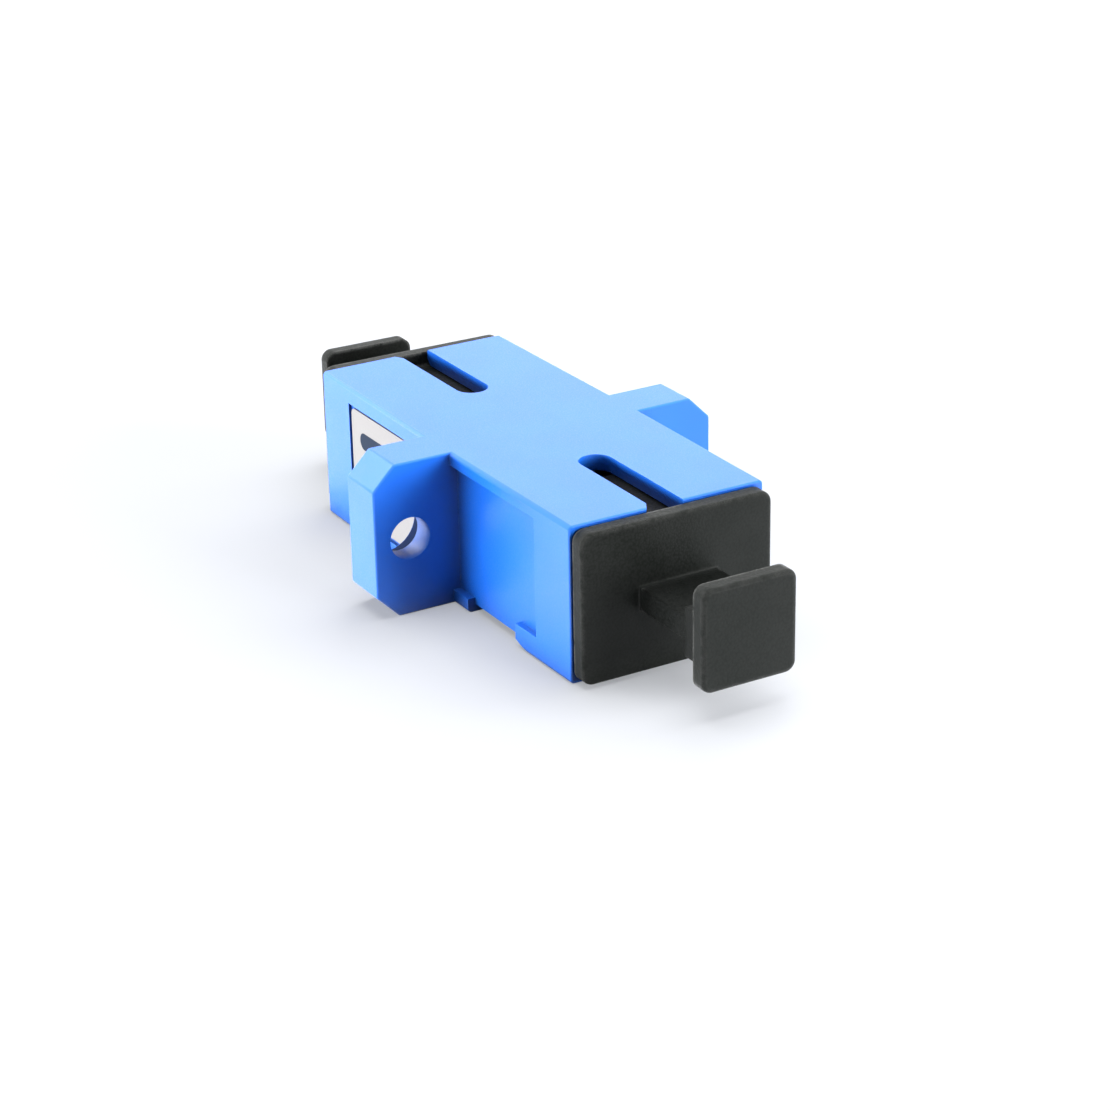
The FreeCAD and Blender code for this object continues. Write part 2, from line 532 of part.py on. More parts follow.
# Label, stuck to the floor of its recess
side_label = new_body("side_label")
paper = new_sketch(side_label, "label_outline", "YZ_Plane",
                   "-(%s - Sizes.label_recess)" % half_w)
box_outline(paper, "%s - Sizes.label_length + Sizes.label_margin" % label_end,
            "%s - Sizes.label_margin" % label_end,
            "Sizes.label_edge + Sizes.label_margin",
            "Sizes.body_height - Sizes.label_edge - Sizes.label_margin")
label_pad = pad(side_label, "label_pad", paper, "Sizes.label_thick", turned=True)
label_corners = edges_where(label_pad, lambda e, a, b: near(abs(a.x - b.x),
                                                            num("Sizes.label_thick")))
dress(side_label, "Fillet", "label_corners", label_pad, label_corners, "Sizes.label_round")

# Check the document, then write each piece
doc.recompute()
for obj in doc.Objects:
    bad = [state for state in obj.State if state in ("Invalid", "Error")]
    if bad:
        raise RuntimeError("%s is %s" % (obj.Name, ", ".join(bad)))
for cut in cuts:
    if cut.BaseFeature.Shape.Volume - cut.Shape.Volume < 1e-6:
        raise RuntimeError("%s cuts nothing" % cut.Name)
nodes = [housing, front_latch_half, rear_latch_half, alignment_sleeve,
         front_dust_cap, rear_dust_cap, side_label]
for body in nodes:
    shape = body.Shape
    if shape.isNull() or not shape.isValid() or len(shape.Solids) != 1:
        raise RuntimeError("%s is not one valid solid" % body.Label)
    shape.exportStep("parts/%s.step" % body.Label)
    box = shape.BoundBox
    print("%-18s volume %8.2f mm3, X %.2f..%.2f, Y %.2f..%.2f, Z %.2f..%.2f" % (
        body.Label, shape.Volume, box.XMin, box.XMax, box.YMin, box.YMax, box.ZMin, box.ZMax))
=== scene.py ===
# %% [markdown]
# # A flanged fibre optic adapter
# This small blue moulding joins two fibre optic plugs end to end. A black dust cap closes each
# of its ports. It is about 45 mm long with both caps in, so every length here is a few
# thousandths of a metre, and a texture has to be fine enough to suit that.
# The measured solids are loaded first, as the fixed frame. The lesson then sets up a camera,
# a plain white ground and soft light, and gives each moulding its edges and its finish.

# %% Load the measured solids
from math import cos, pi, radians, sin

import bpy
from mathutils import Euler, Matrix, Vector


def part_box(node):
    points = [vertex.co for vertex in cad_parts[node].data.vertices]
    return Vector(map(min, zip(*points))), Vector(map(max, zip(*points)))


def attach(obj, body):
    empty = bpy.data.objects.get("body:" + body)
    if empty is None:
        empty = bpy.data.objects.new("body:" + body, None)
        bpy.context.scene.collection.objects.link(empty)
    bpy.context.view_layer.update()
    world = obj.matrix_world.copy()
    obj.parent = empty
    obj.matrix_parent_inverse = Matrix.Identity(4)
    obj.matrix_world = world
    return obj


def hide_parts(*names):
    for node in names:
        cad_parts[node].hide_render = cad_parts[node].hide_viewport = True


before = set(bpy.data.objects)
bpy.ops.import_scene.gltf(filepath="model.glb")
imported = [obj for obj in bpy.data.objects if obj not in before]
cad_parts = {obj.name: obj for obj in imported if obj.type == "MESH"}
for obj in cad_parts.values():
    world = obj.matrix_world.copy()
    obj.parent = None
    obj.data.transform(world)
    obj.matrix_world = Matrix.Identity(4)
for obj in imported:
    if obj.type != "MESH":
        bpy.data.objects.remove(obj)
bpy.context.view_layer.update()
MM = 0.001
bpy.context.scene.view_settings.view_transform = "Standard"
print("nodes:", ", ".join(sorted(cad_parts)))

# %% [markdown]
# ## Camera
# The photograph looks down on the part's front left corner from a short distance. A camera
# turned by azimuth, elevation and a small roll, with a long lens, gives that view. A long
# lens keeps the far end nearly as large as the near one, as it is there.

# %% Camera at the photograph's angle
AZIMUTH, ELEVATION, ROLL = -29.965, 23.153, -1.135
CAMERA_PLACE = Vector((-80.566, -142.138, 70.794)) * MM
bpy.ops.object.select_all(action="DESELECT")
bpy.ops.object.camera_add(location=CAMERA_PLACE)
camera = bpy.context.object
camera.name = "photo_camera"
camera.data.sensor_width = 36
camera.data.lens = 97.52
camera.data.clip_start, camera.data.clip_end = 0.005, 20
turn = Euler((radians(90 - ELEVATION), 0, radians(AZIMUTH))).to_matrix()
turn = turn @ Matrix.Rotation(radians(ROLL), 3, "Z")
camera.rotation_euler = turn.to_euler()
bpy.context.scene.camera = camera
print("camera", [round(c, 4) for c in camera.location])

# %% [markdown]
# ## Small helpers
# Materials are worked out with a few kinds of node over and over. These functions place one
# node or a few, set their values or link their inputs, and give back the output to go on from.

# %% Helpers for node groups
def shader_group(name, inputs, outputs):
    """A node group with named float sockets and a Place vector to read patterns from."""
    group = bpy.data.node_groups.new(name, "ShaderNodeTree")
    group.interface.new_socket("Place", in_out="INPUT", socket_type="NodeSocketVector")
    for label, value in inputs:
        socket = group.interface.new_socket(label, in_out="INPUT", socket_type="NodeSocketFloat")
        socket.default_value = value
    for label in outputs:
        group.interface.new_socket(label, in_out="OUTPUT", socket_type="NodeSocketFloat")
    start, end = group.nodes.new("NodeGroupInput"), group.nodes.new("NodeGroupOutput")
    return group, start, end


def math(tree, operation, first, second=None, clamp=False):
    """A Math node; each operand is a socket or a number. Gives back its output."""
    node = tree.nodes.new("ShaderNodeMath")
    node.operation = operation
    node.use_clamp = clamp
    for slot, operand in enumerate((first, second)):
        if operand is None:
            continue
        if isinstance(operand, (int, float)):
            node.inputs[slot].default_value = operand
        else:
            tree.links.new(operand, node.inputs[slot])
    return node.outputs[0]


def scaled_place(tree, place, size):
    """The place divided by a pattern's size, so that one unit is one grain."""
    node = tree.nodes.new("ShaderNodeVectorMath")
    node.operation = "SCALE"
    tree.links.new(place, node.inputs[0])
    tree.links.new(math(tree, "DIVIDE", 1.0, size), node.inputs["Scale"])
    return node.outputs[0]


def noise(tree, place, detail, roughness):
    """Noise from 0 to 1, about one blob to each unit of the place."""
    node = tree.nodes.new("ShaderNodeTexNoise")
    node.inputs["Scale"].default_value = 1
    node.inputs["Detail"].default_value = detail
    node.inputs["Roughness"].default_value = roughness
    tree.links.new(place, node.inputs["Vector"])
    return node.outputs["Fac"]


def ramp(tree, value, low, high):
    """0 at low, 1 at high, with a smooth change between."""
    node = tree.nodes.new("ShaderNodeMapRange")
    node.interpolation_type = "SMOOTHSTEP"
    node.inputs["From Min"].default_value = low
    node.inputs["From Max"].default_value = high
    tree.links.new(value, node.inputs["Value"])
    return node.outputs[0]


def from_middle(tree, value, low, high):
    """How far a value is from the middle of a stretch."""
    return math(tree, "ABSOLUTE", math(tree, "SUBTRACT", value, (low + high) / 2))


def step_length(tree, first, second):
    """The length of a step that has these two parts at a right angle."""
    squares = [math(tree, "MULTIPLY", part, part) for part in (first, second)]
    return math(tree, "SQRT", math(tree, "ADD", *squares))


# %% Helpers for materials
def material_tree(name):
    """A new material. Gives back the material, its node tree and its shader."""
    material = bpy.data.materials.new(name)
    material.use_nodes = True
    tree = material.node_tree
    return material, tree, tree.nodes["Principled BSDF"]


def place_and_axes(tree):
    """The place on the piece, and the outputs that give its X, Y and Z."""
    place = tree.nodes.new("ShaderNodeTexCoord").outputs["Object"]
    axes = tree.nodes.new("ShaderNodeSeparateXYZ")
    tree.links.new(place, axes.inputs[0])
    return place, axes.outputs


def use_group(tree, group, place, **values):
    """A group's node with its values set by name, in small letters."""
    node = tree.nodes.new("ShaderNodeGroup")
    node.node_tree = group
    tree.links.new(place, node.inputs["Place"])
    for label, value in values.items():
        node.inputs[label.capitalize()].default_value = value
    return node


def blend_colour(tree, factor, first, second):
    """The first colour where the factor is 0, the second where it is 1. Either can be a link."""
    node = tree.nodes.new("ShaderNodeMix")
    node.data_type = "RGBA"
    for socket, colour in (("A", first), ("B", second)):
        if isinstance(colour, tuple):
            node.inputs[socket].default_value = (*colour, 1)
        else:
            tree.links.new(colour, node.inputs[socket])
    tree.links.new(factor, node.inputs["Factor"])
    return node.outputs["Result"]


# %% [markdown]
# ## White ground
# The part lies on a seamless white sheet, in so much light that the open sheet is far past
# white in the picture. A sheet that bright would also throw light up under the part and wash
# out its dark corners. So each kind of ray meets its own sheet. Light that spreads meets a dark
# grey, and little of it comes back up. The camera sees a middle grey with a faint glow, where
# only the soft shadow shows. Reflections see the white glare, which is what makes the side
# walls so pale. It fades out over the last few millimetres before the part: those lie in its
# shadow, and keep the corner under the flange and the cap's plate dark.

# %% Ground sheet
GLARE = 3.6  # brightness of the white surroundings, to the camera and in reflections
SHEET_GLARE = 0.62 * GLARE
SHEET_GLOW = 0.30
GLOW_COLOUR = (0.92, 0.95, 1, 1)
SPREAD_GREY, CAMERA_GREY, WHITE = (0.11, 0.112, 0.115), (0.44, 0.45, 0.475), (1, 1, 1)
BODY_SIDE = 6.3 * MM  # from the middle of the part to its side wall
SHADOW_REACH = 7 * MM
body_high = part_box("housing")[1]

bpy.ops.object.select_all(action="DESELECT")
bpy.ops.mesh.primitive_plane_add(size=3, location=(0, 0, 0))
ground = bpy.context.object
ground.name = "ground"

ground_look, tree, shader = material_tree("white_sheet")
shader.inputs["Roughness"].default_value = 0.9
shader.inputs["Specular IOR Level"].default_value = 0.1
place, axes = place_and_axes(tree)
out_x = math(tree, "SUBTRACT", math(tree, "ABSOLUTE", axes["X"]), BODY_SIDE)
out_y = math(tree, "SUBTRACT", math(tree, "ABSOLUTE", axes["Y"]), body_high.y)
open_sheet = ramp(tree, math(tree, "MAXIMUM", out_x, out_y), 0.0, SHADOW_REACH)
ray = tree.nodes.new("ShaderNodeLightPath").outputs
glare = math(tree, "MULTIPLY", ray["Is Glossy Ray"], SHEET_GLARE)
glow = math(tree, "MULTIPLY", ray["Is Camera Ray"], SHEET_GLOW)
shader.inputs["Emission Color"].default_value = GLOW_COLOUR
tree.links.new(math(tree, "ADD", math(tree, "MULTIPLY", glare, open_sheet), glow),
               shader.inputs["Emission Strength"])
tone = blend_colour(tree, ray["Is Camera Ray"], SPREAD_GREY, CAMERA_GREY)
tree.links.new(blend_colour(tree, ray["Is Glossy Ray"], tone, WHITE), shader.inputs["Base Color"])
ground.data.materials.append(ground_look)
print("ground:", ground.name, "under a body that ends at y =", round(body_high.y, 4))

# %% [markdown]
# ## Soft light
# In the photograph every face that is open to the light is bright, and the corner between
# flange and body falls off to a deep blue. So the even light is dim and the lamps are strong.
# A low, wide strip on the left and a little behind leaves the flange's soft shadow on the side
# wall, and is too low to reach into the key slots. A lamp in front on the right lights the caps
# and the far ear, and the body keeps it off the near ear. One high on the right lays the soft
# shadow on the ground's left, and one overhead fills that shadow again but not the corner.
# The lamps are left out of reflections, where each rounded edge would carry a hard white line.
# A white card behind, on the left, is the other way round: it lights nothing, and shows only in
# reflections, as a sheen on the flange's cut corner.

# %% World
EVEN_LEVEL = 0.09
world = bpy.data.worlds.new("light_tent")
bpy.context.scene.world = world
world.use_nodes = True
tree = world.node_tree
even = tree.nodes["Background"]
even.inputs["Color"].default_value = (0.95, 0.97, 1.0, 1)
even.inputs["Strength"].default_value = EVEN_LEVEL
white = tree.nodes.new("ShaderNodeBackground")
white.inputs["Strength"].default_value = GLARE
ray = tree.nodes.new("ShaderNodeLightPath").outputs
pick = tree.nodes.new("ShaderNodeMixShader")
tree.links.new(math(tree, "MAXIMUM", ray["Is Camera Ray"], ray["Is Glossy Ray"]),
               pick.inputs["Fac"])
tree.links.new(even.outputs[0], pick.inputs[1])
tree.links.new(white.outputs[0], pick.inputs[2])
tree.links.new(pick.outputs[0], tree.nodes["World Output"].inputs["Surface"])
print("even light", EVEN_LEVEL, "and glare", GLARE)

# %% Lamps, each placed by its direction from the part
LAMP_DISTANCE = 0.5


def soft_lamp(name, bearing, height, level, width, tall, card=False):
    """A lamp that faces the part. The bearing is in degrees from +X towards +Y, the height is
    in degrees, and a level of 1 shows a white face turned to it as just white. A lamp only
    lights, and a card only shows in reflections."""
    flat = cos(radians(height)) * LAMP_DISTANCE
    place = Vector((cos(radians(bearing)) * flat, sin(radians(bearing)) * flat,
                    sin(radians(height)) * LAMP_DISTANCE))
    bpy.ops.object.select_all(action="DESELECT")
    bpy.ops.object.light_add(type="AREA", location=place)
    lamp = bpy.context.object
    lamp.name = name
    lamp.data.shape = "RECTANGLE"
    lamp.data.size, lamp.data.size_y = width, tall
    lamp.data.energy = level * (pi * LAMP_DISTANCE) ** 2
    lamp.rotation_euler = (-place).to_track_quat("-Z", "Y").to_euler()
    lamp.visible_glossy = card
    lamp.visible_diffuse = not card
    print(name, [round(c, 3) for c in place], round(lamp.data.energy, 2), "W")


soft_lamp("left_strip", 152, 6, 2.2, 0.50, 0.10)
soft_lamp("front_lamp", -58, 11, 1.9, 0.36, 0.26)
soft_lamp("high_lamp", 22, 38, 1.0, 0.50, 0.50)
soft_lamp("overhead_lamp", 90, 84, 0.95, 0.45, 0.45)
soft_lamp("back_card", 116, 28, 0.35, 0.32, 0.22, card=True)

# %% [markdown]
# ## Shader groups
# Every moulding here needs the same few effects: the fine grain that a spark-eroded mould
# leaves, a slow drift of tone, edges made paler partly by handling and partly as a painted
# highlight, and a little dust. Each effect is a node group, made once and placed in each
# material with its own values.

# %% [markdown]
# A spark-eroded mould is covered in tiny overlapping craters, and the plastic copies them as
# rounded bumps. Cells give the bumps, and finer noise between them keeps them uneven.

# %% Mould grain
CRATER_SHARE = 0.55
grain_group, start, end = shader_group("mould_grain", [("Size", 0.1 * MM)], ["Height", "Spread"])
place = scaled_place(grain_group, start.outputs["Place"], start.outputs["Size"])
cells = grain_group.nodes.new("ShaderNodeTexVoronoi")
cells.feature = "SMOOTH_F1"
cells.inputs["Scale"].default_value = 0.9
cells.inputs["Smoothness"].default_value = 0.7
grain_group.links.new(place, cells.inputs["Vector"])
bumps = math(grain_group, "SUBTRACT", 1.0, cells.outputs["Distance"])
fine = noise(grain_group, place, 3, 0.6)
height = math(grain_group, "ADD", math(grain_group, "MULTIPLY", bumps, CRATER_SHARE),
              math(grain_group, "MULTIPLY", fine, 1 - CRATER_SHARE))
grain_group.links.new(height, end.inputs["Height"])
grain_group.links.new(ramp(grain_group, height, 0.35, 0.65), end.inputs["Spread"])

# %% [markdown]
# No moulding is one even colour. The plastic flows round the cores as it fills the mould, and
# cools at different speeds, so its tone drifts a little over a few millimetres.

# %% Slow drift of tone
drift_group, start, end = shader_group("tone_drift", [("Size", 4 * MM)], ["Drift"])
place = scaled_place(drift_group, start.outputs["Place"], start.outputs["Size"])
drift_group.links.new(ramp(drift_group, noise(drift_group, place, 2, 0.5), 0.3, 0.7),
                      end.inputs["Drift"])

# %% [markdown]
# Corners are worn first, and a rounded edge also catches a line of light. The Bevel node gives
# the normal that a rounder edge would have, so the difference from the real normal is large
# only beside an edge. The paler tone this mask brings is partly wear and partly a painted
# highlight. Noise breaks it up, because fingers and boxes don't rub evenly.

# %% Worn edges, with a painted highlight
PATCH_SIZE = 0.6 * MM
edge_group, start, end = shader_group("edge_wear_and_sheen", [("Width", 0.2 * MM), ("Gain", 6.0)],
                                      ["Edge"])
rounder = edge_group.nodes.new("ShaderNodeBevel")
rounder.samples = 6
edge_group.links.new(start.outputs["Width"], rounder.inputs["Radius"])
surface = edge_group.nodes.new("ShaderNodeNewGeometry")
compare = edge_group.nodes.new("ShaderNodeVectorMath")
compare.operation = "DOT_PRODUCT"
edge_group.links.new(rounder.outputs["Normal"], compare.inputs[0])
edge_group.links.new(surface.outputs["Normal"], compare.inputs[1])
turned = math(edge_group, "SUBTRACT", 1.0, compare.outputs["Value"])
worn_lit_edge = math(edge_group, "MULTIPLY", turned, start.outputs["Gain"], clamp=True)
patches = scaled_place(edge_group, start.outputs["Place"], PATCH_SIZE)
broken = ramp(edge_group, noise(edge_group, patches, 3, 0.6), 0.3, 0.6)
edge_group.links.new(math(edge_group, "MULTIPLY", worn_lit_edge, broken), end.inputs["Edge"])

# %% [markdown]
# Dust is a few separate specks. Most cells of a cell pattern stay empty: a speck shows only
# near the middle of a cell whose random red is under the share of dusty cells. The same cell's
# random green sets how large its speck is.

# %% Dust specks
LARGEST_SPECK, SPECK_EDGE = 0.12, 0.03  # as shares of a cell
dust_group, start, end = shader_group("dust_specks", [("Size", 0.9 * MM), ("Share", 0.12)],
                                      ["Dust"])
place = scaled_place(dust_group, start.outputs["Place"], start.outputs["Size"])
spots = dust_group.nodes.new("ShaderNodeTexVoronoi")
spots.inputs["Scale"].default_value = 1
spots.inputs["Randomness"].default_value = 1
dust_group.links.new(place, spots.inputs["Vector"])
luck = dust_group.nodes.new("ShaderNodeSeparateColor")
dust_group.links.new(spots.outputs["Color"], luck.inputs["Color"])
chosen = math(dust_group, "LESS_THAN", luck.outputs["Red"], start.outputs["Share"])
reach = math(dust_group, "MULTIPLY", luck.outputs["Green"], LARGEST_SPECK)
near = math(dust_group, "SUBTRACT", reach, spots.outputs["Distance"])
speck = math(dust_group, "MULTIPLY", ramp(dust_group, near, 0.0, SPECK_EDGE), chosen)
dust_group.links.new(speck, end.inputs["Dust"])
print("groups:", [group.name for group in bpy.data.node_groups])

# %% [markdown]
# ## Moulded plastic
# All the plastics are built the same way, so one function makes them. The tone drifts between
# two near colours, edges are a little paler, from wear and a painted highlight, and smoother,
# the grain is a bump that also spreads the roughness, and specks of dust can lie over
# everything. Three more effects serve one moulding or the other: stretches that carry no wear
# and get painted shade, painted shade in narrow places, and pockets painted dark as shade.

# %% Three effects that only some mouldings have
BLACK = (0.0, 0.0, 0.0)
SOFT_END = 0.5 * MM  # how slowly a stretch starts and ends
# Painted shade in narrow places: how closed in a place is, and the shade's share and tone
CLOSED_IN, OPEN = 0.30, 0.90  # share of the surroundings that is open to view
CREASE_SHADE_SHARE, CREASE_SHADE_TONE = 0.75, 0.04
# Painted shade inside the pockets behind the screw holes
POCKET_SHADE_TONE = 0.06  # as a share of the deep tone, as in a crease


def unworn_and_shaded(tree, along, edge, colour, stretches):
    """Take the wear off the stretches that nothing rubs, and darken them with painted shade."""
    for low, high, darker in stretches:
        low, high = low * MM, high * MM
        half = (high - low) / 2
        inside = ramp(tree, from_middle(tree, along, low, high),
                      half, half - min(SOFT_END, half / 2))
        edge = math(tree, "MULTIPLY", edge, math(tree, "SUBTRACT", 1.0, inside))
        colour = blend_colour(tree, math(tree, "MULTIPLY", inside, darker), colour, BLACK)
    return edge, colour


def paint_crease_shade(tree, colour, deep, reach):
    """A deeper tone, painted shade, where other faces are nearer than the reach."""
    closeness = tree.nodes.new("ShaderNodeAmbientOcclusion")
    closeness.samples = 5
    closeness.inputs["Distance"].default_value = reach
    narrow = math(tree, "SUBTRACT", 1.0, ramp(tree, closeness.outputs["AO"], CLOSED_IN, OPEN))
    return blend_colour(tree, math(tree, "MULTIPLY", narrow, CREASE_SHADE_SHARE), colour,
                        tuple(part * CREASE_SHADE_TONE for part in deep))


def pocket_shade_mask(tree, axes, shaded_pockets):
    """1 inside any of the round pockets along Y, and 0 elsewhere."""
    pocket_shade = 0.0
    for across, up, radius, low, high in shaded_pockets:
        away = step_length(tree, math(tree, "SUBTRACT", axes["X"], across * MM),
                           math(tree, "SUBTRACT", axes["Z"], up * MM))
        off_middle = from_middle(tree, axes["Y"], low * MM, high * MM)
        inside = math(tree, "MULTIPLY", math(tree, "LESS_THAN", away, radius * MM),
                      math(tree, "LESS_THAN", off_middle, (high - low) / 2 * MM))
        pocket_shade = math(tree, "MAXIMUM", pocket_shade, inside)
    return pocket_shade


# %% [markdown]
# The wear and painted highlight, the painted shade, the tone and the roughness all read the
# same few masks, so that an edge is paler and smoother in the same spots, and a pocket painted
# dark as shade is dull as well.

# %% A function for moulded plastic
DUST_COLOUR = (0.10, 0.102, 0.105)
GRAIN_SPREAD = 0.14  # how much rougher the tops of the grain are than its bottoms
EDGE_POLISH = 0.08


def moulded(name, deep, pale, worn_lit_edge, roughness, gloss, grain, depth, mottle, edge_width, dust,
            soften=0.0, bounce=1.0, edge_gain=6.0, unworn_shaded=(), crease_shade=0.0, shaded_pockets=()):
    """A moulded plastic. Lengths are in millimetres.

    deep, pale, worn_lit_edge: the tones that it drifts between, and the tone of edges, which is
        partly wear and partly a painted highlight on the rounding
    grain, depth: size and height of the mould's grain; mottle: the grain's share in the tone
    edge_width, edge_gain: how wide and how strongly edges are marked; dust: share of dusty cells
    soften: the radius that edges seem to have
    bounce: share of its colour that the piece throws on to what is around it
    unworn_shaded: stretches that carry no wear and get painted shade, each with its start and
        end along the part, counted from the middle, and how much darker the painted shade is
    crease_shade: how far from other faces the painted shade of narrow places starts
    shaded_pockets: round pockets along Y that are painted dark as shade and made dull, each
        with its place across and up, its radius, and where it starts and ends
    """
    material, tree, shader = material_tree(name)
    place, axes = place_and_axes(tree)
    drift = use_group(tree, drift_group, place, size=4 * MM).outputs["Drift"]
    edge = use_group(tree, edge_group, place, width=edge_width * MM, gain=edge_gain).outputs["Edge"]
    specks = use_group(tree, dust_group, place, share=dust).outputs["Dust"]
    grains = use_group(tree, grain_group, place, size=grain * MM)

    fleck = math(tree, "MULTIPLY", grains.outputs["Spread"], mottle)
    tone = math(tree, "ADD", fleck, math(tree, "MULTIPLY", drift, 1 - mottle))
    colour = blend_colour(tree, tone, deep, pale)
    along = math(tree, "ABSOLUTE", axes["Y"])
    # No wear on the stretches that nothing rubs, and painted shade on the plug and stem
    edge, colour = unworn_and_shaded(tree, along, edge, colour, unworn_shaded)
    # Paler edges: partly wear, partly a painted highlight
    colour = blend_colour(tree, edge, colour, worn_lit_edge)
    # Painted shade in narrow places, where other faces crowd in
    if crease_shade:
        colour = paint_crease_shade(tree, colour, deep, crease_shade * MM)
    # Painted shade, and dullness, in the pockets behind the screw holes
    pocket_shade = pocket_shade_mask(tree, axes, shaded_pockets)
    if shaded_pockets:
        colour = blend_colour(tree, pocket_shade, colour, tuple(part * POCKET_SHADE_TONE for part in deep))
    colour = blend_colour(tree, specks, colour, DUST_COLOUR)
    if bounce < 1:
        ray = tree.nodes.new("ShaderNodeLightPath").outputs
        held = math(tree, "MULTIPLY", ray["Is Diffuse Ray"], 1 - bounce)
        colour = blend_colour(tree, held, colour, BLACK)
    tree.links.new(colour, shader.inputs["Base Color"])

    spread = math(tree, "MULTIPLY", grains.outputs["Spread"], GRAIN_SPREAD)
    matt = math(tree, "ADD", spread, roughness - GRAIN_SPREAD / 2)
    smoother = math(tree, "MULTIPLY", edge, -EDGE_POLISH)
    matt = math(tree, "ADD", matt, smoother, clamp=True)
    tree.links.new(math(tree, "MAXIMUM", matt, pocket_shade), shader.inputs["Roughness"])
    shader.inputs["Specular IOR Level"].default_value = gloss

    bump = tree.nodes.new("ShaderNodeBump")
    bump.inputs["Distance"].default_value = depth * MM
    tree.links.new(grains.outputs["Height"], bump.inputs["Height"])
    if soften:
        rounder = tree.nodes.new("ShaderNodeBevel")
        rounder.samples = 8
        rounder.inputs["Radius"].default_value = soften * MM
        tree.links.new(rounder.outputs["Normal"], bump.inputs["Normal"])
    tree.links.new(bump.outputs["Normal"], shader.inputs["Normal"])
    return material


# %% [markdown]
# ## The finishes
# The housing's blue is deep: it only looks pale where the lamps are strong. Painted shade makes
# it deeper still in its slots and ports, and the pockets behind its screw holes are painted dark
# as shade and made dull. The dust caps are a soft black plastic with a coarser grain, a painted
# highlight along their edges, and a little grey dust. Their plugs and stems carry no wear,
# because no finger rubs them there, and are painted darker as shade. The latch halves are
# uncoloured plastic, and are smooth because a plug's latch slides on them.

# %% Blue, black and natural mouldings
# Pockets behind the screw holes, painted dark as shade, in millimetres: middle, radius, both ends
# along Y
HOLE_ACROSS, HOLE_UP = 9.0, 4.65
POCKET_RADIUS = 2.0
POCKET_FLOOR, POCKET_MOUTH = -0.04, 1.585
head_pockets = [(side * HOLE_ACROSS, HOLE_UP, POCKET_RADIUS, POCKET_FLOOR, POCKET_MOUTH)
                for side in (-1, 1)]
# Stretches of a cap with no wear and with painted shade, in millimetres from the middle: start,
# end and how much darker
port_face = body_high.y / MM
plug = (0, port_face - 0.1, 0.75)
plate_face = (port_face + 1.06, port_face + 1.3, 0)
stem = (port_face + 1.25, port_face + 7.1, 0.45)

blue = moulded("blue_moulding", (0.013, 0.165, 0.84), (0.016, 0.182, 0.88), (0.040, 0.24, 0.90),
               roughness=0.38, gloss=0.5, grain=0.07, depth=0.0022, mottle=0.2,
               edge_width=0.16, dust=0.0, bounce=0.2, crease_shade=2.2, shaded_pockets=head_pockets)
# The black's pale edge tone is mostly a painted highlight on its rounded edges
black = moulded("black_moulding", (0.0065, 0.0078, 0.0068), (0.0160, 0.0174, 0.0165),
                (0.090, 0.091, 0.088), roughness=0.50, gloss=0.08, grain=0.13, depth=0.018,
                mottle=0.5, edge_width=0.36, dust=0.06, soften=0.25, edge_gain=9,
                unworn_shaded=(plug, plate_face, stem))
natural = moulded("natural_moulding", (0.66, 0.62, 0.52), (0.70, 0.67, 0.58),
                  (0.74, 0.71, 0.64), roughness=0.42, gloss=0.45, grain=0.06,
                  depth=0.0015, mottle=0.1, edge_width=0.12, dust=0.0)
print("plastics:", blue.name, black.name, natural.name)

# %% [markdown]
# The alignment sleeve is ground zirconia: white, dense and glossy, with the faintest rings
# left by the grinding wheel. The rings follow the optical axis, which is Y.

# %% Ground ceramic
RING_SPACING, RING_DEPTH = 0.03 * MM, 0.0004 * MM
ceramic, tree, shader = material_tree("ground_ceramic")
place, axes = place_and_axes(tree)
drift = use_group(tree, drift_group, place, size=2 * MM).outputs["Drift"]
tree.links.new(blend_colour(tree, drift, (0.80, 0.80, 0.77), (0.84, 0.84, 0.82)),
               shader.inputs["Base Color"])
shader.inputs["Roughness"].default_value = 0.16
along = tree.nodes.new("ShaderNodeCombineXYZ")
tree.links.new(math(tree, "DIVIDE", axes["Y"], RING_SPACING), along.inputs["Y"])
rings = tree.nodes.new("ShaderNodeBump")
rings.inputs["Distance"].default_value = RING_DEPTH
tree.links.new(noise(tree, along.outputs[0], 2, 0.5), rings.inputs["Height"])
tree.links.new(rings.outputs["Normal"], shader.inputs["Normal"])
print("ceramic:", ceramic.name)

# %% [markdown]
# ## Dressed copies of the solids
# The solids have the moulding's large roundings. What they lack is the tiny radius that every
# real edge has, at the rim of a hole, slot or recess. The loose triangles of each solid are
# merged and cleaned into plain faces first, because a bevel needs shared edges. The bevel then
# takes only sharp edges, and weighted normals keep the wide faces flat beside it.

# %% A function that dresses one solid
SHARP = radians(32)


def dress(node_name, body, look, edge_round):
    """Put a copy with small round edges, in millimetres, in the place of a solid."""
    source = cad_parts[node_name]
    piece = bpy.data.objects.new("dressed_" + node_name, source.data.copy())
    bpy.context.collection.objects.link(piece)
    bpy.ops.object.select_all(action="DESELECT")
    piece.select_set(True)
    bpy.context.view_layer.objects.active = piece
    bpy.ops.object.mode_set(mode="EDIT")
    bpy.ops.mesh.select_all(action="SELECT")
    bpy.ops.mesh.remove_doubles(threshold=1e-6)
    bpy.ops.mesh.dissolve_limited(angle_limit=radians(0.3))
    bpy.ops.object.mode_set(mode="OBJECT")

    bevel = piece.modifiers.new("small_rounds", "BEVEL")
    bevel.limit_method = "ANGLE"
    bevel.angle_limit = SHARP
    bevel.width = edge_round * MM
    bevel.segments = 2
    bevel.use_clamp_overlap = True
    bpy.ops.object.modifier_apply(modifier=bevel.name)
    bpy.ops.object.shade_smooth_by_angle(angle=SHARP)
    weighted = piece.modifiers.new("flat_faces", "WEIGHTED_NORMAL")
    weighted.keep_sharp = True
    bpy.ops.object.modifier_apply(modifier=weighted.name)

    piece.data.materials.clear()
    piece.data.materials.append(look)
    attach(piece, body)
    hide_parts(node_name)
    print("%-28s %6d faces" % (piece.name, len(piece.data.polygons)))


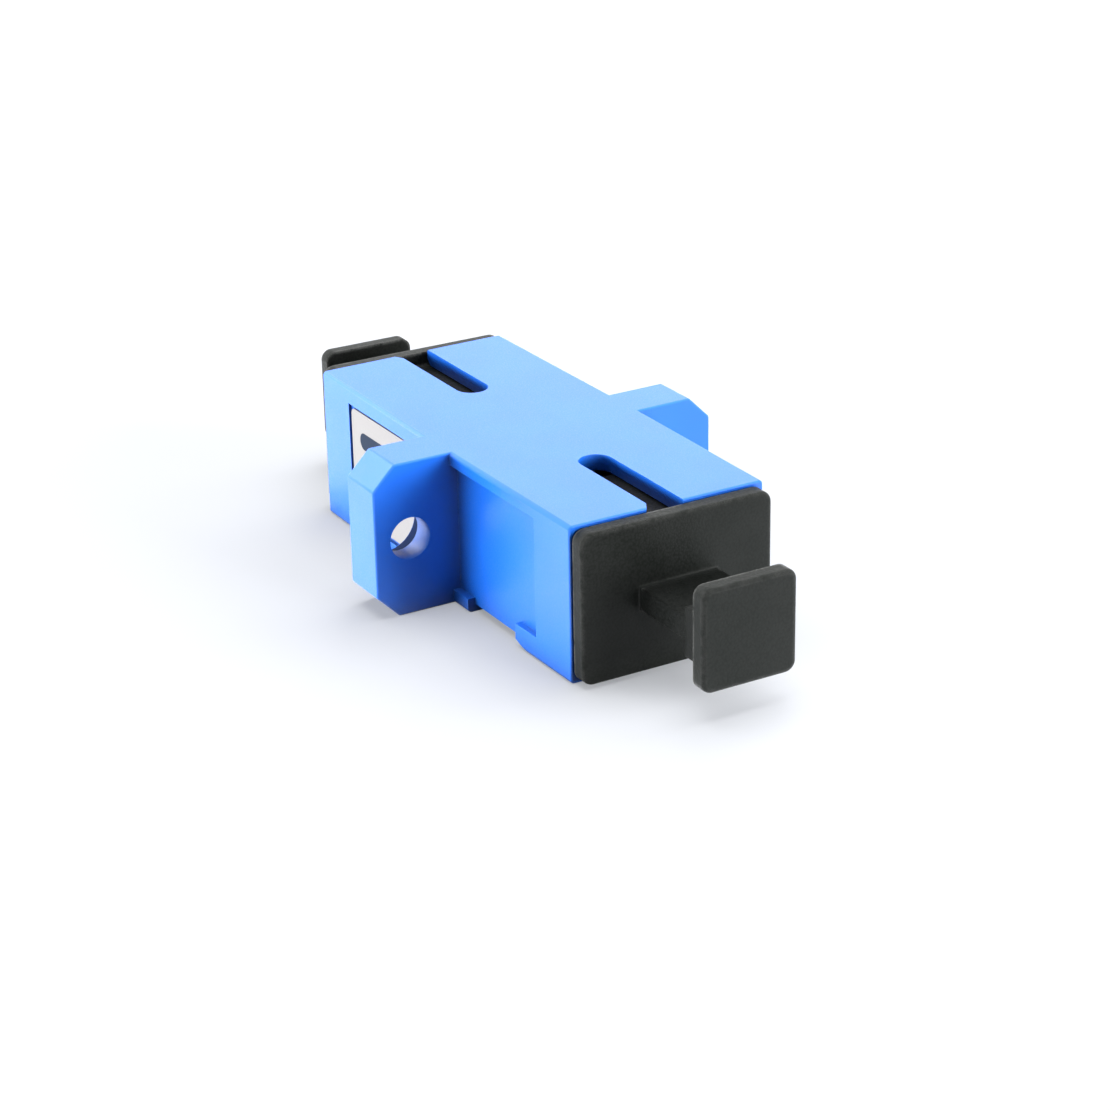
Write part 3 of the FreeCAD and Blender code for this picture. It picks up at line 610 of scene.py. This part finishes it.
# %% Dress the mouldings
dress("housing", "adapter", blue, 0.05)
dress("front_dust_cap", "front_cap", black, 0.06)
dress("rear_dust_cap", "rear_cap", black, 0.06)
dress("front_latch_half", "adapter", natural, 0.03)
dress("rear_latch_half", "adapter", natural, 0.03)
dress("alignment_sleeve", "adapter", ceramic, 0.02)

# %% [markdown]
# ## Label
# The sticker is coated paper, white with a hint of warmth, and its fibres show as the faintest
# unevenness. Its print is one plain dark bar with round ends. The bar is worked out from the
# distance to a short line, so that its edge stays sharp at any size of picture.

# %% Label paper with a plain bar
label_low, label_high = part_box("side_label")
BAR_RADIUS = 0.55 * MM
BAR_END = 1.05 * MM
BAR_DROP = 1.75 * MM
BAR_EDGE = 0.02 * MM
FIBRE_SIZE, FIBRE_DEPTH = 0.15 * MM, 0.003 * MM
bar_rear = label_high.y - BAR_END
bar_front = label_low.y + BAR_END
bar_height = label_high.z - BAR_DROP
half_line = (bar_rear - bar_front) / 2 - BAR_RADIUS

paper, tree, shader = material_tree("label_paper")
place, axes = place_and_axes(tree)
off_y = from_middle(tree, axes["Y"], bar_front, bar_rear)
past_y = math(tree, "MAXIMUM", math(tree, "SUBTRACT", off_y, half_line), 0.0)
off_z = math(tree, "SUBTRACT", axes["Z"], bar_height)
away = step_length(tree, past_y, off_z)
printed = ramp(tree, away, BAR_RADIUS, BAR_RADIUS - BAR_EDGE)
fibres = noise(tree, scaled_place(tree, place, FIBRE_SIZE), 4, 0.65)
stock = blend_colour(tree, fibres, (0.38, 0.37, 0.375), (0.42, 0.41, 0.41))
tree.links.new(blend_colour(tree, printed, stock, (0.012, 0.022, 0.045)),
               shader.inputs["Base Color"])
shader.inputs["Roughness"].default_value = 0.6
shader.inputs["Specular IOR Level"].default_value = 0.08
fibre_bump = tree.nodes.new("ShaderNodeBump")
fibre_bump.inputs["Distance"].default_value = FIBRE_DEPTH
tree.links.new(fibres, fibre_bump.inputs["Height"])
tree.links.new(fibre_bump.outputs["Normal"], shader.inputs["Normal"])
dress("side_label", "adapter", paper, 0.02)
